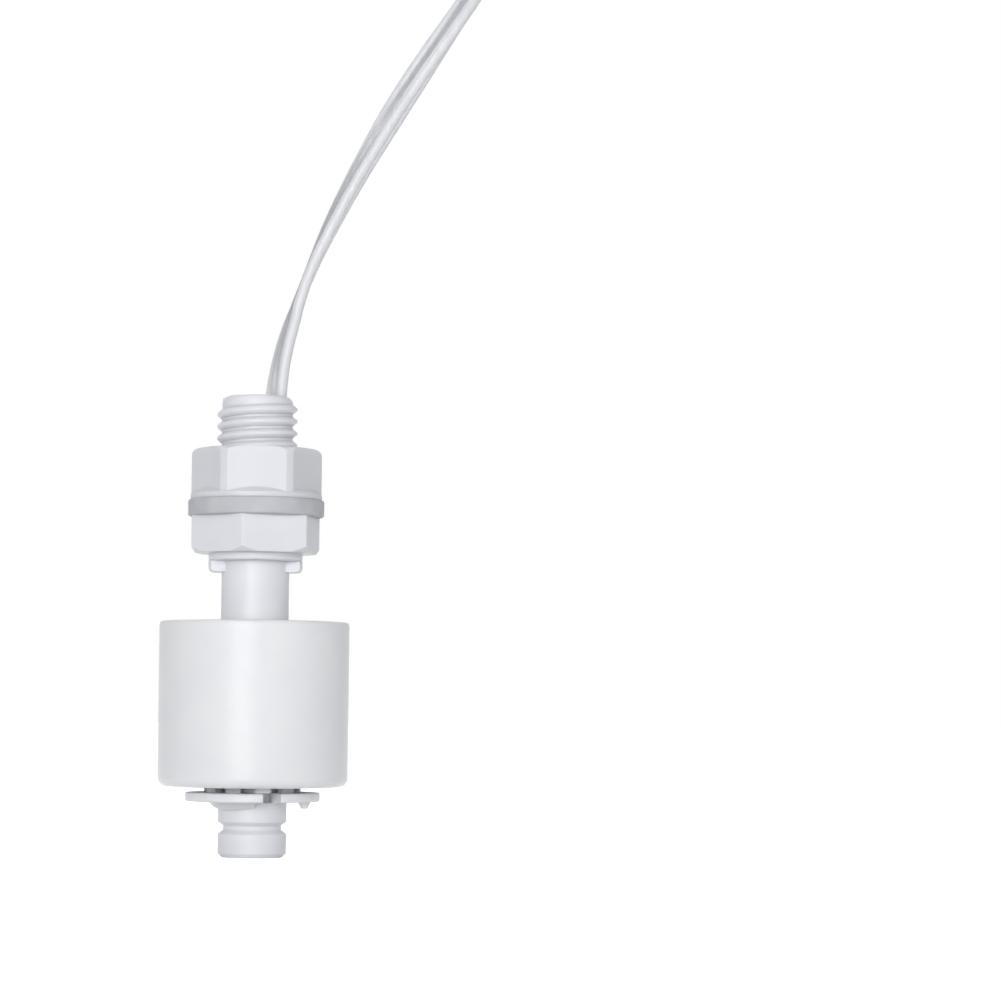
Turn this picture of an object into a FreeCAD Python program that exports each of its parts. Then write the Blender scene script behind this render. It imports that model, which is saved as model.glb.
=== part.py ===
import FreeCAD, Part
import math
import os

# Small vertical float level switch for a tank wall or lid, in millimetres.
# The origin is on the stem's axis at the sealing plane, where the gasket meets the wall.
# +Z points up out of the tank, along the screwed stub. The front of the switch faces -Y.

V = FreeCAD.Vector
UP = V(0, 0, 1)

# Screwed stub, above the sealing plane
THREAD_DIA = 10.0  # outside the moulded M10 x 1.5 thread, which stands on the stub's plain core
THREAD_DEPTH = 0.6
STUB_HEIGHT = 12.95
TIP_ROUND = 0.9
MOUTH_DIA = 7.3  # wide top of the bore, filled with resin
MOUTH_DEPTH = 6.0
MOUTH_CONE = 2.3
BORE_DIA = 5.0
BORE_FLOOR = 2.6  # plastic left between the bore's end and the clip groove

# Hexagon under the gasket
HEX_ACROSS = 14.5
HEX_HEIGHT = 4.6
HEX_TURN = -12.0  # degrees that one corner stands off the front
HEX_CHAMFER = 0.7
HEX_CHAMFER_REACH = 0.85

# Collar and stop lugs that end the float's travel
COLLAR_DIA = 11.7
COLLAR_HEIGHT = 0.95
COLLAR_ROUND = 0.35
LUG_DROP = 1.4
LUG_WIDTH = 4.0
LUG_ROUND = 0.5

# Stem and its two clip grooves
STEM_DIA = 8.4
GROOVE_DIA = 7.2
GROOVE_SLOPE = 0.5  # height of the lower groove's slanted walls
SPARE_GROOVE_GAP = 2.45  # from the clip down to the lower groove
SPARE_GROOVE_HEIGHT = 1.0
END_RING_DIA = 8.5  # of the two rings below the clip
END_RING_HEIGHT = 3.4
END_CHAMFER = 0.5

# Lock nut
NUT_HEIGHT = 6.3
NUT_ACROSS = 14.5
NUT_CORNER_DIA = 16.2
NUT_TOP_ROUND = 0.8
FLANGE_DIA = 16.4
FLANGE_EDGE = 0.6
FLANGE_CONE = 0.8
FLANGE_CONE_REACH = 1.25
NUT_BORE_CHAMFER = 0.5

# Sealing gasket
GASKET_DIA = 16.95
GASKET_THICKNESS = 2.1
GASKET_ROUND = 0.3

# Float
FLOAT_DIA = 23.6
FLOAT_HEIGHT = 20.43
FLOAT_WALL = 1.1
FLOAT_FLOOR = 1.2
FLOAT_TOP_ROUND = 0.4
FLOAT_BOTTOM_ROUND = 1.1
TUBE_WALL = 0.9
CAP_THICKNESS = 1.2
CAP_LEDGE = 0.4
CAP_SEAM = 0.25
HUB_DIA = 12.0
HUB_HEIGHT = 0.7
HUB_NOTCHES = 10
HUB_NOTCH_WIDTH = 1.7
HUB_NOTCH_TURN = -5.7
FLOAT_TRAVEL = 6.15

# Ring magnet and what traps it in the float
MAGNET_DIA = 16.6
MAGNET_HEIGHT = 4.6
MAGNET_ROUND = 0.4
MAGNET_SEAT = 10.3  # from the float's floor up to the magnet
SEAT_RIBS = 6
SEAT_RIB_WIDTH = 1.0
SPIGOT_INSET = 0.6
SPIGOT_WALL = 1.0

# Retaining clip
CLIP_DIA = 16.7
CLIP_THICKNESS = 1.12
CLIP_ROUND = 0.25
CLIP_SLIT = 2.3
CLIP_SLIT_TURN = 17.0
LIP_TOP_DIA = 11.0
LIP_END_DIA = 9.1
LIP_DROP = 1.0
LIP_TILT = 15.0
LIP_TURN = -40.0
GATE_DIA = 1.6
GATE_TIP_DIA = 0.8
GATE_DROP = 0.8
GATE_RADIUS = 6.9
GATE_TURN = 68.0

# Reed switch
REED_OFFSET = -1.0  # along X from the stem's axis
REED_LAG = 1.0  # below the middle of the magnet when the float is up
GLASS_DIA = 2.1
GLASS_LENGTH = 14.0
GLASS_WALL = 0.3
GLASS_SEAL = 1.6
GLASS_END_ROUND = 0.6
REED_WIRE_DIA = 0.5
REED_TAIL = 4.0
BLADE_WIDTH = 1.0
BLADE_THICKNESS = 0.2
BLADE_OVERLAP = 1.2
CONTACT_GAP = 0.12

# Lead cores inside the stem
CORE_DIA = 1.3
CORE_PITCH = 1.4  # between the two cores' centres where the lead comes in
CONDUCTOR_DIA = 0.5
CORE_STRAIGHT = 2.6  # of each core, below the resin's top
CORE_SWAY = 5.0  # height over which a core moves across to its place in the stem
LONG_CORE_OFFSET = 1.35
BARE_RUN = 7.0  # of the long conductor, above the lower joint
TURN_DEPTH = 1.4  # of the long conductor's turn under the lower joint
RESIN_BELOW_TOP = 1.35
RESIN_GAP = 3.0  # from the resin down to the upper joint's sleeve
JOINT_SLEEVE_WALL = 0.35
JOINT_SLEEVE_LENGTH = 4.0
JOINT_SLEEVE_GAP = 0.2  # from the sleeve to the core's insulation

# Twin lead: a route of hand-chosen points from the resin up, over and down behind the switch
LEAD_WIDTH = 2.8
LEAD_ROUTE = [
    (2.15, 0.0, 11.6),
    (2.15, 0.0, 16.1),
    (4.5, 0.0, 24.2),
    (8.3, 0.0, 33.2),
    (13.2, 0.0, 42.8),
    (18.9, 0.0, 52.6),
    (25.9, 0.0, 63.7),
    (30.5, 9.7, 72.2),
    (29.8, 23.3, 72.7),
    (24.1, 33.0, 64.9),
    (14.3, 33.0, 48.4),
    (9.0, 33.0, 38.1),
    (4.9, 33.0, 28.3),
    (2.7, 33.0, 19.5),
    (2.3, 33.0, 10.9),
    (2.3, 33.0, 2.4),
]
ARC_SHARE = 0.45  # of the shorter run beside each corner

# Hank of the spare lead, wound as two long turns and tied at its waist.
# It stands on the surface that the stem's end stands on.
HANK_TOP = 1.9
HANK_BOTTOM = -44.3
HANK_CENTRE_X = 0.5
HANK_CENTRE_Y = 24.5
HANK_WIDTH = 6.0
HANK_LOOP_RADIUS = 9.2
HANK_WAIST = 3.4
HANK_WAIST_LENGTH = 6.0
HANK_LEDGE = 9.9  # from the hank's centre to the back of the strand that comes in
TIE_WIDTH = 2.4
TIE_THICKNESS = 0.6
TIE_CLEARANCE = 0.05
END_DIA = 0.8
END_LENGTH = 5.5
END_TOP = -6.6
END_CLEARANCE = 0.05
END_CENTRE_X = -1.0

# Fits
THREAD_CLEARANCE = 0.06
GASKET_CLEARANCE = 0.2
FLOAT_CLEARANCE = 0.5  # all round, between the stem and the float's tube
MAGNET_CLEARANCE = 0.3
CLIP_CLEARANCE = 0.05
GROOVE_CLEARANCE = 0.05
CAP_CLEARANCE = 0.05
MAGNET_PLAY = 0.15
SLEEVE_CLEARANCE = 0.02
CUT_PAST = 1.0  # how far a cut runs past the face it opens

# Diameters that follow from the sizes above
ROOT_DIA = THREAD_DIA - 2 * THREAD_DEPTH
GASKET_BORE = THREAD_DIA + 2 * GASKET_CLEARANCE
FLOAT_BORE = STEM_DIA + 2 * FLOAT_CLEARANCE
TUBE_DIA = FLOAT_BORE + 2 * TUBE_WALL
CUP_DIA = FLOAT_DIA - 2 * FLOAT_WALL
MAGNET_BORE = TUBE_DIA + 2 * MAGNET_CLEARANCE
SPIGOT_DIA = MAGNET_DIA - 2 * SPIGOT_INSET

# Heights that follow from the sizes above
HEX_TOP = -GASKET_THICKNESS
HEX_BOTTOM = HEX_TOP - HEX_HEIGHT
COLLAR_BOTTOM = HEX_BOTTOM - COLLAR_HEIGHT
LUG_BOTTOM = COLLAR_BOTTOM - LUG_DROP
FLOAT_TOP = LUG_BOTTOM - FLOAT_TRAVEL
FLOAT_BOTTOM = FLOAT_TOP - FLOAT_HEIGHT
CLIP_TOP = FLOAT_BOTTOM - HUB_HEIGHT
CLIP_BOTTOM = CLIP_TOP - CLIP_THICKNESS
GROOVE_BOTTOM = CLIP_BOTTOM - GROOVE_CLEARANCE
SPARE_TOP = GROOVE_BOTTOM - SPARE_GROOVE_GAP
SPARE_BOTTOM = SPARE_TOP - SPARE_GROOVE_HEIGHT
STEM_BOTTOM = SPARE_BOTTOM - END_RING_HEIGHT
BORE_BOTTOM = CLIP_TOP + BORE_FLOOR
CUP_FLOOR = FLOAT_BOTTOM + FLOAT_FLOOR
CAP_SEAT = FLOAT_TOP - CAP_THICKNESS
MAGNET_BOTTOM = CUP_FLOOR + MAGNET_SEAT
MAGNET_TOP = MAGNET_BOTTOM + MAGNET_HEIGHT
RESIN_TOP = STUB_HEIGHT - RESIN_BELOW_TOP
REED_CENTRE = (MAGNET_BOTTOM + MAGNET_TOP) / 2 + FLOAT_TRAVEL - REED_LAG
REED_TOP = REED_CENTRE + GLASS_LENGTH / 2
REED_BOTTOM = REED_CENTRE - GLASS_LENGTH / 2
UPPER_JOINT = REED_TOP + REED_TAIL
LOWER_JOINT = REED_BOTTOM - REED_TAIL
RESIN_BOTTOM = UPPER_JOINT + JOINT_SLEEVE_LENGTH / 2 + RESIN_GAP


def polar(radius, turn, z=0.0):
    """A point at this radius, turned from the front (-Y) towards +X by a number of degrees."""
    a = math.radians(turn)
    return V(radius * math.sin(a), -radius * math.cos(a), z)


def revolve(profile):
    """A solid turned about the Z axis from (radius, z) points."""
    points = [V(r, 0, z) for r, z in profile]
    face = Part.Face(Part.makePolygon(points + points[:1]))
    return face.revolve(V(0, 0, 0), UP, 360)


def cylinder(dia, low, high, x=0.0, y=0.0):
    return Part.makeCylinder(dia / 2, high - low, V(x, y, low), UP)


def ring(outer, inner, low, high):
    return cylinder(outer, low, high).cut(cylinder(inner, low, high))


def hexagon(across, low, high, turn):
    """A hexagonal prism with one corner at this turn from the front."""
    radius = across / 2 / math.cos(math.radians(30))
    corners = [polar(radius, turn + 60 * i, low) for i in range(6)]
    face = Part.Face(Part.makePolygon(corners + corners[:1]))
    return face.extrude(V(0, 0, high - low))


def ring_edges(shape, dia, z):
    """The full circles of this diameter at this height, about the Z axis."""
    found = []
    for edge in shape.Edges:
        curve = edge.Curve
        if isinstance(curve, Part.Circle) and abs(curve.Center.z - z) < 1e-6:
            if abs(curve.Radius - dia / 2) < 1e-6 and curve.Center.sub(V(0, 0, z)).Length < 1e-6:
                found.append(edge)
    return found


def rounded(shape, radius, circles):
    """Round the circles given as (diameter, height)."""
    edges = [e for dia, z in circles for e in ring_edges(shape, dia, z)]
    return shape.makeFillet(radius, edges)


def body_hexagon():
    radius = HEX_ACROSS / 2 / math.cos(math.radians(30))
    prism = hexagon(HEX_ACROSS, HEX_BOTTOM, HEX_TOP, HEX_TURN)
    limit = revolve([
        (0, HEX_BOTTOM),
        (radius - HEX_CHAMFER_REACH, HEX_BOTTOM),
        (radius, HEX_BOTTOM + HEX_CHAMFER),
        (radius, HEX_TOP),
        (0, HEX_TOP),
    ])
    return prism.common(limit)


def stop_lugs():
    """Two lugs that hang from the collar, left and right."""
    disc = cylinder(COLLAR_DIA, LUG_BOTTOM, COLLAR_BOTTOM)
    disc = rounded(disc, LUG_ROUND, [(COLLAR_DIA, LUG_BOTTOM)])
    bar = Part.makeBox(COLLAR_DIA, LUG_WIDTH, LUG_DROP, V(-COLLAR_DIA / 2, -LUG_WIDTH / 2, LUG_BOTTOM))
    return disc.common(bar)


def stem_profile():
    """Half section of the stem, its two clip grooves and its end ring."""
    stem, neck, end = STEM_DIA / 2, GROOVE_DIA / 2, END_RING_DIA / 2
    return [
        (0, STEM_BOTTOM),
        (end - END_CHAMFER, STEM_BOTTOM),
        (end, STEM_BOTTOM + END_CHAMFER),
        (end, SPARE_BOTTOM - GROOVE_SLOPE),
        (neck, SPARE_BOTTOM),
        (neck, SPARE_TOP - GROOVE_SLOPE),
        (end, SPARE_TOP),
        (end, GROOVE_BOTTOM),
        (neck, GROOVE_BOTTOM),
        (neck, CLIP_TOP + GROOVE_CLEARANCE),
        (stem, CLIP_TOP + GROOVE_CLEARANCE),
        (stem, HEX_TOP),
        (0, HEX_TOP),
    ]


def bore():
    """The blind bore for the reed switch, with its wide mouth."""
    mouth, wall = MOUTH_DIA / 2, BORE_DIA / 2
    step = STUB_HEIGHT - MOUTH_DEPTH
    return revolve([
        (0, BORE_BOTTOM),
        (wall, BORE_BOTTOM),
        (wall, step - MOUTH_CONE),
        (mouth, step),
        (mouth, STUB_HEIGHT + CUT_PAST),
        (0, STUB_HEIGHT + CUT_PAST),
    ])


def switch_body():
    """Stub, hexagon, stop collar and stem, moulded in one piece."""
    stub = rounded(cylinder(ROOT_DIA, HEX_TOP, STUB_HEIGHT), TIP_ROUND, [(ROOT_DIA, STUB_HEIGHT)])
    collar = cylinder(COLLAR_DIA, COLLAR_BOTTOM, HEX_BOTTOM)
    collar = rounded(collar, COLLAR_ROUND, [(COLLAR_DIA, COLLAR_BOTTOM)])
    body = revolve(stem_profile()).fuse([stub, body_hexagon(), collar, stop_lugs()])
    return body.cut(bore()).removeSplitter()


def lock_nut():
    """Hexagon nut with a coned flange and its corners rounded off at the top."""
    limit = cylinder(NUT_CORNER_DIA, 0, NUT_HEIGHT)
    limit = rounded(limit, NUT_TOP_ROUND, [(NUT_CORNER_DIA, NUT_HEIGHT)])
    hexa = hexagon(NUT_ACROSS, 0, NUT_HEIGHT, 30).common(limit)
    flange = FLANGE_DIA / 2
    skirt = revolve([
        (0, 0),
        (flange, 0),
        (flange, FLANGE_EDGE),
        (flange - FLANGE_CONE_REACH, FLANGE_EDGE + FLANGE_CONE),
        (0, FLANGE_EDGE + FLANGE_CONE),
    ])
    wall = ROOT_DIA / 2 + THREAD_CLEARANCE
    hole = revolve([
        (0, -CUT_PAST),
        (wall, -CUT_PAST),
        (wall, NUT_HEIGHT - NUT_BORE_CHAMFER),
        (wall + NUT_BORE_CHAMFER, NUT_HEIGHT),
        (wall + NUT_BORE_CHAMFER, NUT_HEIGHT + CUT_PAST),
        (0, NUT_HEIGHT + CUT_PAST),
    ])
    return hexa.fuse(skirt).cut(hole).removeSplitter()


def gasket():
    body = ring(GASKET_DIA, GASKET_BORE, -GASKET_THICKNESS, 0)
    return rounded(body, GASKET_ROUND, [(GASKET_DIA, 0), (GASKET_DIA, -GASKET_THICKNESS)])


def float_shell():
    """Cup with a central tube, closed at the bottom, where a notched hub stands on the clip."""
    body = cylinder(FLOAT_DIA, FLOAT_BOTTOM, FLOAT_TOP)
    body = rounded(body, FLOAT_BOTTOM_ROUND, [(FLOAT_DIA, FLOAT_BOTTOM)])
    body = rounded(body, FLOAT_TOP_ROUND, [(FLOAT_DIA, FLOAT_TOP)])
    body = body.cut(ring(CUP_DIA, TUBE_DIA, CUP_FLOOR, FLOAT_TOP))
    body = body.cut(cylinder(CUP_DIA + 2 * CAP_LEDGE, CAP_SEAT, FLOAT_TOP))
    body = body.fuse([seat_ribs(), float_hub()])
    return body.cut(cylinder(FLOAT_BORE, CLIP_TOP - CUT_PAST, FLOAT_TOP)).removeSplitter()


def seat_ribs():
    """Ribs between the float's tube and its wall, which carry the magnet."""
    rib = Part.makeBox(SEAT_RIB_WIDTH, FLOAT_DIA, MAGNET_SEAT, V(-SEAT_RIB_WIDTH / 2, 0, CUP_FLOOR))
    ribs = [rib.rotated(V(0, 0, 0), UP, 360 / SEAT_RIBS * i) for i in range(SEAT_RIBS)]
    annulus = ring(CUP_DIA + FLOAT_WALL, TUBE_DIA - TUBE_WALL, CUP_FLOOR, MAGNET_BOTTOM)
    return ribs[0].fuse(ribs[1:]).common(annulus)


def float_hub():
    """The ring under the float, cut by notches that let liquid through."""
    hub = ring(HUB_DIA, FLOAT_BORE, CLIP_TOP, FLOAT_BOTTOM + FLOAT_FLOOR / 2)
    slot = Part.makeBox(HUB_NOTCH_WIDTH, HUB_DIA, HUB_HEIGHT, V(-HUB_NOTCH_WIDTH / 2, -HUB_DIA, CLIP_TOP))
    turns = [HUB_NOTCH_TURN + 360 / HUB_NOTCHES * i for i in range(HUB_NOTCHES)]
    return hub.cut([slot.rotated(V(0, 0, 0), UP, t) for t in turns])


def float_cap():
    """Welded top of the float, with a spigot that keeps the magnet on its ribs."""
    edge = CUP_DIA / 2 + CAP_LEDGE - CAP_CLEARANCE
    disc = revolve([
        (FLOAT_BORE / 2, CAP_SEAT),
        (edge, CAP_SEAT),
        (edge, FLOAT_TOP - CAP_SEAM),
        (edge - CAP_SEAM, FLOAT_TOP),
        (FLOAT_BORE / 2, FLOAT_TOP),
    ])
    low, high = MAGNET_TOP + MAGNET_PLAY, CAP_SEAT + CAP_THICKNESS / 2
    spigot = ring(SPIGOT_DIA, SPIGOT_DIA - 2 * SPIGOT_WALL, low, high)
    return disc.fuse(spigot).removeSplitter()


def ring_magnet():
    body = ring(MAGNET_DIA, MAGNET_BORE, MAGNET_BOTTOM, MAGNET_TOP)
    return rounded(body, MAGNET_ROUND, [(MAGNET_DIA, MAGNET_BOTTOM), (MAGNET_DIA, MAGNET_TOP)])


def clip_lip():
    """The lip under the clip: a cone cut off at a slant, so that it is deepest on one side."""
    cone = revolve([
        (0, CLIP_BOTTOM + CLIP_THICKNESS / 2),
        (LIP_TOP_DIA / 2, CLIP_BOTTOM + CLIP_THICKNESS / 2),
        (LIP_TOP_DIA / 2, CLIP_BOTTOM),
        (LIP_END_DIA / 2, CLIP_BOTTOM - LIP_DROP),
        (0, CLIP_BOTTOM - LIP_DROP),
    ])
    side = 2 * CLIP_DIA
    block = Part.makeBox(side, side, side, V(-side / 2, -side / 2, -side))
    block.rotate(V(0, 0, 0), V(1, 0, 0), LIP_TILT)
    block.rotate(V(0, 0, 0), UP, LIP_TURN)
    block.translate(polar(LIP_END_DIA / 2, LIP_TURN, CLIP_BOTTOM - LIP_DROP))
    return cone.cut(block)


def retaining_clip():
    """Slit ring that snaps into the stem's upper groove and carries the float."""
    plate = cylinder(CLIP_DIA, CLIP_BOTTOM, CLIP_TOP)
    plate = rounded(plate, CLIP_ROUND, [(CLIP_DIA, CLIP_BOTTOM), (CLIP_DIA, CLIP_TOP)])
    gate_at = polar(GATE_RADIUS, GATE_TURN, CLIP_BOTTOM - GATE_DROP)
    gate = Part.makeCone(GATE_TIP_DIA / 2, GATE_DIA / 2, GATE_DROP, gate_at, UP)
    plate = plate.fuse([clip_lip(), gate])
    grip = cylinder(GROOVE_DIA + 2 * CLIP_CLEARANCE, CLIP_BOTTOM, CLIP_TOP)
    passes = cylinder(END_RING_DIA + 2 * CLIP_CLEARANCE, CLIP_BOTTOM - 2 * LIP_DROP, CLIP_BOTTOM)
    drop = CLIP_THICKNESS + 2 * LIP_DROP
    slit = Part.makeBox(CLIP_SLIT, CLIP_DIA, drop, V(-CLIP_SLIT / 2, -CLIP_DIA, CLIP_TOP - drop))
    slit.rotate(V(0, 0, 0), UP, CLIP_SLIT_TURN)
    return plate.cut([grip, passes, slit]).removeSplitter()


def reed_glass():
    """Sealed glass tube, solid at both ends where the blades' wires pass."""
    room_dia = GLASS_DIA - 2 * GLASS_WALL
    tube = cylinder(GLASS_DIA, REED_BOTTOM, REED_TOP)
    tube = rounded(tube, GLASS_END_ROUND, [(GLASS_DIA, REED_BOTTOM), (GLASS_DIA, REED_TOP)])
    room = cylinder(room_dia, REED_BOTTOM + GLASS_SEAL, REED_TOP - GLASS_SEAL)
    wires = cylinder(REED_WIRE_DIA, REED_BOTTOM, REED_TOP)
    tube = tube.cut([room, wires])
    tube.translate(V(REED_OFFSET, 0, 0))
    return tube


def reed_blade(side):
    """One blade with its wire. side is 1 for the upper blade and -1 for the lower one."""
    end = GLASS_LENGTH / 2 - GLASS_SEAL
    face = side * CONTACT_GAP / 2
    wire = Part.makeCylinder(REED_WIRE_DIA / 2, GLASS_SEAL + REED_TAIL, V(0, 0, end), UP)
    low = face if side > 0 else face - BLADE_THICKNESS
    tongue = end + BLADE_OVERLAP / 2
    blade = Part.makeBox(BLADE_WIDTH, BLADE_THICKNESS, tongue, V(-BLADE_WIDTH / 2, low, -BLADE_OVERLAP / 2))
    piece = wire.fuse(blade)
    if side < 0:
        piece = piece.mirror(V(0, 0, 0), UP)
    piece.translate(V(REED_OFFSET, 0, REED_CENTRE))
    return piece


def path_wire(points):
    """Straight runs joined by tangent arcs, as one wire. Gives the wire and its arcs' radii."""
    points = [V(*p) for p in points]
    edges, radii, start = [], [], points[0]
    for before, corner, after in zip(points, points[1:], points[2:]):
        back, ahead = (before - corner), (after - corner)
        trim = ARC_SHARE * min(back.Length, ahead.Length)
        back.normalize()
        ahead.normalize()
        half = (math.pi - back.getAngle(ahead)) / 2
        radius = trim / math.tan(half)
        first, last = corner + back * trim, corner + ahead * trim
        inward = back + ahead
        inward.normalize()
        middle = corner + inward * (radius / math.cos(half) - radius)
        edges.append(Part.LineSegment(start, first).toShape())
        edges.append(Part.Arc(first, middle, last).toShape())
        radii.append(radius)
        start = last
    edges.append(Part.LineSegment(start, points[-1]).toShape())
    return Part.Wire(edges), radii


def tube_along(points, dia):
    """A round tube along the points. Gives the solid, the path's length and its arcs' radii."""
    wire, radii = path_wire(points)
    run = V(*points[1]) - V(*points[0])
    section = Part.Wire(Part.Circle(V(*points[0]), run, dia / 2).toShape())
    return wire.makePipeShell([section], True, False), wire.Length, radii


def core_routes():
    """Routes of the two lead cores from the resin's top down into the stem."""
    x, y, _ = LEAD_ROUTE[0]
    bend = RESIN_TOP - CORE_STRAIGHT
    settle = bend - CORE_SWAY
    left, right = x - CORE_PITCH / 2, x + CORE_PITCH / 2
    short = [
        (left, y, RESIN_TOP),
        (left, y, bend),
        (REED_OFFSET, y, settle),
        (REED_OFFSET, y, UPPER_JOINT + JOINT_SLEEVE_LENGTH / 2 + JOINT_SLEEVE_GAP),
    ]
    long = [
        (right, y, RESIN_TOP),
        (right, y, bend),
        (LONG_CORE_OFFSET, y, settle),
        (LONG_CORE_OFFSET, y, LOWER_JOINT + BARE_RUN),
    ]
    return short, long


def conductor_routes():
    """Routes of the conductors: the cores' own routes, and on to the reed's two wires."""
    short, long = core_routes()
    y = short[0][1]
    low = LOWER_JOINT - JOINT_SLEEVE_LENGTH / 2 - TURN_DEPTH
    short = short[:-1] + [(REED_OFFSET, y, UPPER_JOINT)]
    long = long[:-1] + [
        (LONG_CORE_OFFSET, y, low),
        (REED_OFFSET, y, low),
        (REED_OFFSET, y, LOWER_JOINT),
    ]
    return short, long


def lead_cores():
    """Insulated cores, each with its conductor through it, as {node: solid}."""
    nodes = {}
    for name, core, wire in zip(("short", "long"), core_routes(), conductor_routes()):
        conductor = tube_along(wire, CONDUCTOR_DIA)[0]
        nodes["conductor_" + name] = conductor
        nodes["lead_core_" + name] = tube_along(core, CORE_DIA)[0].cut(conductor)
    return nodes


def resin_plug(cores):
    """Potting resin that seals the bore's top and grips both cores."""
    return bore().common(cylinder(MOUTH_DIA, RESIN_BOTTOM, RESIN_TOP)).cut(cores)


def joint_sleeve(z):
    """Shrink sleeve over a soldered joint between a reed wire and a conductor."""
    inner = max(REED_WIRE_DIA, CONDUCTOR_DIA) + 2 * SLEEVE_CLEARANCE
    low, high = z - JOINT_SLEEVE_LENGTH / 2, z + JOINT_SLEEVE_LENGTH / 2
    tube = ring(inner + 2 * JOINT_SLEEVE_WALL, inner, low, high)
    tube.translate(V(REED_OFFSET, 0, 0))
    return tube


def lead_cord():
    """The free lead as a round tube as wide as the twin lead, up to the hank."""
    solid, length, radii = tube_along(LEAD_ROUTE, LEAD_WIDTH)
    section = math.pi * LEAD_WIDTH ** 2 / 4
    print("lead arcs' radii:", [round(r, 1) for r in radii])
    print("lead length %.1f, volume %.1f, section x length %.1f" % (length, solid.Volume, section * length))
    return solid


def hank_outline():
    """The hank's side outline in the Y-Z plane: two round ends, a waist and a ledge at the back."""
    y, r, waist = HANK_CENTRE_Y, HANK_LOOP_RADIUS, HANK_WAIST / 2
    top, low = HANK_TOP - r, HANK_BOTTOM + r
    middle = (HANK_TOP + HANK_BOTTOM) / 2
    high_waist, low_waist = middle + HANK_WAIST_LENGTH / 2, middle - HANK_WAIST_LENGTH / 2
    strand = LEAD_ROUTE[-1][2]
    back, inner = y + HANK_LEDGE, y + HANK_LEDGE - LEAD_WIDTH

    def at(depth, z):
        return V(0, depth, z)

    def curve(start, end):
        """A smooth S between two upright lines."""
        half = (end.z - start.z) / 2
        bend = Part.BezierCurve()
        bend.setPoles([start, start + V(0, 0, half), end - V(0, 0, half), end])
        return bend.toShape()

    def line(start, end):
        return Part.LineSegment(start, end).toShape()

    lean = inner - y
    shoulder = at(inner, top + math.sqrt(r * r - lean * lean))
    mid_turn = (math.atan2(shoulder.z - top, lean) + math.pi) / 2
    crown = at(y + r * math.cos(mid_turn), top + r * math.sin(mid_turn))
    edges = [
        line(at(back, strand), at(back, top)),
        curve(at(back, top), at(y + waist, high_waist)),
        line(at(y + waist, high_waist), at(y + waist, low_waist)),
        curve(at(y + waist, low_waist), at(y + r, low)),
        Part.Arc(at(y + r, low), at(y, low - r), at(y - r, low)).toShape(),
        curve(at(y - r, low), at(y - waist, low_waist)),
        line(at(y - waist, low_waist), at(y - waist, high_waist)),
        curve(at(y - waist, high_waist), at(y - r, top)),
        Part.Arc(at(y - r, top), crown, shoulder).toShape(),
        line(shoulder, at(inner, strand)),
        line(at(inner, strand), at(back, strand)),
    ]
    return Part.Wire(edges)


def lead_hank():
    """The spare lead's outer shape, as one block with rounded ends and a tied waist."""
    face = Part.Face(hank_outline())
    face.translate(V(HANK_CENTRE_X - HANK_WIDTH / 2, 0, 0))
    return face.extrude(V(HANK_WIDTH, 0, 0))


def hank_tie():
    """A band round the hank's waist."""
    middle = (HANK_TOP + HANK_BOTTOM) / 2
    wide, deep = HANK_WIDTH / 2 + TIE_CLEARANCE, HANK_WAIST / 2 + TIE_CLEARANCE
    grow = TIE_THICKNESS
    low = middle - TIE_WIDTH / 2
    outer = Part.makeBox(2 * (wide + grow), 2 * (deep + grow), TIE_WIDTH, V(-wide - grow, -deep - grow, low))
    outer = outer.makeFillet(grow, [e for e in outer.Edges if abs(e.tangentAt(0).z) > 0.9])
    inner = Part.makeBox(2 * wide, 2 * deep, TIE_WIDTH, V(-wide, -deep, low))
    band = outer.cut(inner)
    band.translate(V(HANK_CENTRE_X, HANK_CENTRE_Y, 0))
    return band


def bare_end(side):
    """One stripped and tinned end, against the back of the hank."""
    y = HANK_CENTRE_Y + HANK_LEDGE + END_CLEARANCE + END_DIA / 2
    x = END_CENTRE_X + side * CORE_PITCH / 2
    return cylinder(END_DIA, END_TOP - END_LENGTH, END_TOP, x, y)


def build():
    """Every piece of the switch, as {node: solid}."""
    cores = lead_cores()
    insides = list(cores.values())
    return {
        "switch_body": switch_body(),
        "lock_nut": lock_nut(),
        "gasket": gasket(),
        "float_shell": float_shell(),
        "float_cap": float_cap(),
        "ring_magnet": ring_magnet(),
        "retaining_clip": retaining_clip(),
        "reed_glass": reed_glass(),
        "reed_blade_upper": reed_blade(1),
        "reed_blade_lower": reed_blade(-1),
        **cores,
        "resin_plug": resin_plug(insides),
        "joint_sleeve_upper": joint_sleeve(UPPER_JOINT),
        "joint_sleeve_lower": joint_sleeve(LOWER_JOINT),
        "lead_cord": lead_cord(),
        "lead_hank": lead_hank(),
        "hank_tie": hank_tie(),
        "lead_end_a": bare_end(-1),
        "lead_end_b": bare_end(1),
    }


os.makedirs("parts", exist_ok=True)
for node, shape in build().items():
    solid = shape.Solids[0] if len(shape.Solids) == 1 else shape
    print("%-20s solids %d valid %s volume %.2f" % (node, len(shape.Solids), shape.isValid(), shape.Volume))
    solid.exportStep("parts/" + node + ".step")
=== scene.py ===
"""Float level switch: its finishes, moulded thread, twin lead and studio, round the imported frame.

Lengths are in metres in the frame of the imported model. The stem's axis is Z, the sealing plane
is z = 0 and the front of the switch faces -Y.
"""

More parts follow.
